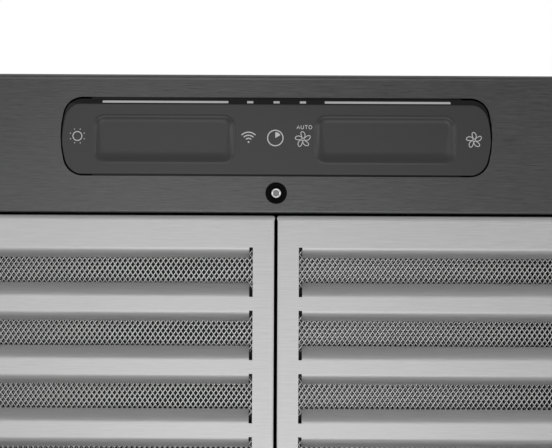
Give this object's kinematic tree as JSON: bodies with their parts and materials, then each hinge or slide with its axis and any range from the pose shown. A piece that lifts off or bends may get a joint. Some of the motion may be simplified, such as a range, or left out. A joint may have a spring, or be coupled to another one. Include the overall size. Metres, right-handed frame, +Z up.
{
  "type": "chimney range hood",
  "caption": "Wall-hung pyramid range hood with a telescopic chimney, a touch module in the front strip, hinged slotted grease filters, a centrifugal blower and a round duct collar.",
  "frame": {"origin": "middle of the four wall bolts, on the wall plane", "axes": "seen from the front, +X is to the right, +Y goes to the wall and +Z is up"},
  "size_m": [0.76, 0.5, 0.7722],
  "materials": {
    "black_gloss": "gloss black",
    "black_plastic": "fine grained",
    "black_rubber": "matt",
    "board_green": "solder mask",
    "bright_steel": "turned and polished",
    "canopy_steel": "dark brushed steel",
    "cast_aluminium": "plain",
    "filter_steel": "fine horizontal brushing",
    "frosted_lens": "frosted",
    "grey_plastic": "matt",
    "light_guide": "milky",
    "mesh_aluminium": "expanded sheet",
    "module_face": "satin dark grey",
    "motor_paint": "semi-gloss",
    "strip_steel": "dark brushed steel",
    "wheel_plastic": "matt",
    "zinc_steel": "zinc coated"
  },
  "bodies": {
    "hood": {"back_panel": "zinc_steel", "blower_deck": "zinc_steel", "blower_screws": "bright_steel", "board_cover": "black_plastic", "cable_bushing": "black_plastic", "canopy_shell": "canopy_steel", "capacitor": "cast_aluminium", "chimney_lower": "canopy_steel", "chimney_screws": "bright_steel", "control_board": "board_green", "damper_rod": "bright_steel", "duct_collar": "zinc_steel", "front_rail": "zinc_steel", "hinge_rod": "bright_steel", "junction_box": "grey_plastic", "junction_cover": "grey_plastic", "lamp_bezels": "bright_steel", "lamp_bodies": "cast_aluminium", "lamp_driver": "grey_plastic", "lamp_lenses": "frosted_lens", "light_bar_left": "light_guide", "light_bar_right": "light_guide", "motor_body": "motor_paint", "motor_bracket": "zinc_steel", "motor_bushes": "black_rubber", "outlet_adaptor": "black_plastic", "rear_rail": "zinc_steel", "scroll_side_left": "zinc_steel", "scroll_side_right": "zinc_steel", "scroll_wrap": "zinc_steel", "sensor_bush": "black_plastic", "sensor_probe": "bright_steel", "status_lights": "light_guide", "touch_face": "module_face", "touch_housing": "black_gloss", "underside_pan": "strip_steel"},
    "chimney_upper": {"chimney_upper": "canopy_steel", "ceiling_bracket": "zinc_steel"},
    "filter_left": {"filter_face_left": "filter_steel", "filter_mesh_left": "mesh_aluminium", "filter_back_left": "mesh_aluminium", "latch_housing_left": "black_plastic", "latch_spring_left": "bright_steel"},
    "filter_right": {"filter_face_right": "filter_steel", "filter_mesh_right": "mesh_aluminium", "filter_back_right": "mesh_aluminium", "latch_housing_right": "black_plastic", "latch_spring_right": "bright_steel"},
    "latch_left": {"latch_slide_left": "black_plastic"},
    "latch_right": {"latch_slide_right": "black_plastic"},
    "impeller": {"impeller": "wheel_plastic", "rotor_shaft": "bright_steel"},
    "damper_left": {"damper_flap_left": "grey_plastic"},
    "damper_right": {"damper_flap_right": "grey_plastic"}
  },
  "joints": [
    {"name": "filter_left_hinge", "type": "hinge", "parent": "hood", "child": "filter_left", "pos_m": [-0.17825, -0.0607, -0.1368], "axis": [1, 0, 0], "range_deg": [0, 50]},
    {"name": "latch_left_slide", "type": "slide", "parent": "filter_left", "child": "latch_left", "axis": [0, 1, 0], "range_m": [0, 0.005], "stiffness_N_per_m": 300, "springref_m": -0.003, "deforming": ["latch_spring_left"]},
    {"name": "filter_right_hinge", "type": "hinge", "parent": "hood", "child": "filter_right", "pos_m": [0.17825, -0.0607, -0.1368], "axis": [1, 0, 0], "range_deg": [0, 50]},
    {"name": "latch_right_slide", "type": "slide", "parent": "filter_right", "child": "latch_right", "axis": [0, 1, 0], "range_m": [0, 0.005], "stiffness_N_per_m": 300, "springref_m": -0.003, "deforming": ["latch_spring_right"]},
    {"name": "impeller_spin", "type": "hinge", "parent": "hood", "child": "impeller", "pos_m": [0, -0.2245, 0.035], "axis": [1, 0, 0], "continuous": true},
    {"name": "damper_left_hinge", "type": "hinge", "parent": "hood", "child": "damper_left", "pos_m": [0, -0.1444, 0.207], "axis": [0, 1, 0], "range_deg": [0, 80]},
    {"name": "damper_right_hinge", "type": "hinge", "parent": "hood", "child": "damper_right", "pos_m": [0, -0.1444, 0.207], "axis": [0, -1, 0], "range_deg": [0, 80]},
    {"name": "chimney_slide", "type": "slide", "parent": "hood", "child": "chimney_upper", "axis": [0, 0, 1], "range_m": [0, 0.27]}
  ]
}
